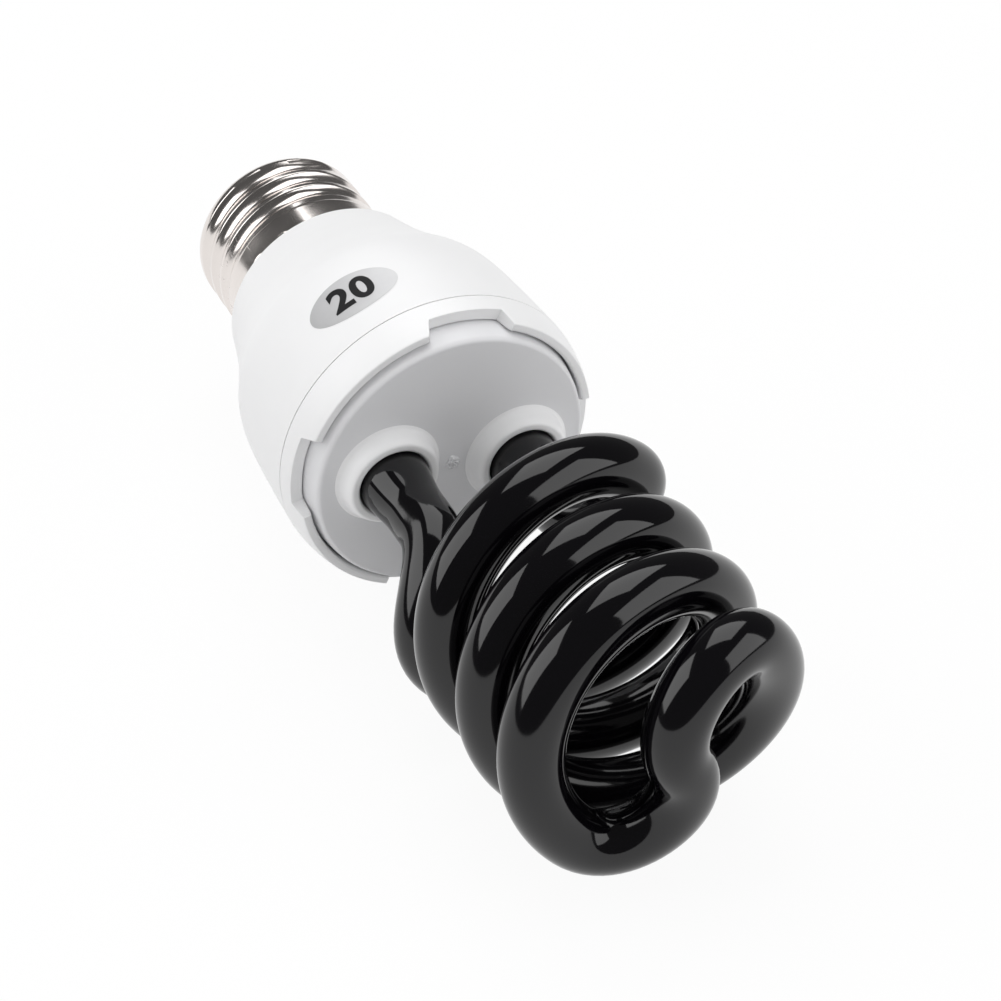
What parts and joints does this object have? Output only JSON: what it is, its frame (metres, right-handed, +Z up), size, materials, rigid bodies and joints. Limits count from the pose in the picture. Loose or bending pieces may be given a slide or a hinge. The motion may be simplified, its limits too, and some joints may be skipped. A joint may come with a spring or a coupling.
{
  "type": "spiral black light bulb",
  "caption": "Compact ultraviolet lamp: a black glass double spiral on a white housing with a screw cap, lying on its side.",
  "frame": {"origin": "centre of the base of the bounding box, on the surface that the lamp lies on", "axes": "+X along the lamp from its cap to the free end of the spiral, which dips by about 1.6 degrees, +Z up"},
  "size_m": [0.132, 0.0454, 0.0454],
  "materials": {
    "nickel": "bright rolled nickel plate, warm reflections",
    "cap_glass": "opaque black glass",
    "contact_metal": "bright nickel plate",
    "solder": "bright tin solder",
    "white_plastic": "satin moulded plastic",
    "grey_plastic": "satin moulded plastic",
    "black_glass": "opaque deep violet-black filter glass, polished",
    "cement": "dull white cement",
    "wire_metal": "plain drawn wire",
    "board": "phenolic board",
    "can": "sleeved aluminium can",
    "ferrite": "dark ferrite",
    "copper_winding": "lacquered copper wire",
    "film": "dipped resin",
    "black_resin": "moulded resin",
    "resistor_body": "lacquered body",
    "fuse_body": "lacquered body",
    "wire_sleeve": "insulated wire"
  },
  "bodies": {
    "root": {"screw_shell": "nickel", "cap_insulator": "cap_glass", "centre_contact": "contact_metal", "contact_solder": "solder", "upper_housing": "white_plastic", "lock_ring": "white_plastic", "tube_plate": "grey_plastic", "spiral_tube": "black_glass", "tube_cement": "cement", "tube_lead_wires": "wire_metal", "circuit_board": "board", "electrolytic_capacitor": "can", "choke_core": "ferrite", "choke_winding": "copper_winding", "toroid": "ferrite", "film_capacitors": "film", "transistors": "black_resin", "diodes": "black_resin", "resistors": "resistor_body", "fuse_resistor": "fuse_body", "live_wire": "wire_sleeve", "neutral_wire": "wire_sleeve"}
  },
  "joints": []
}
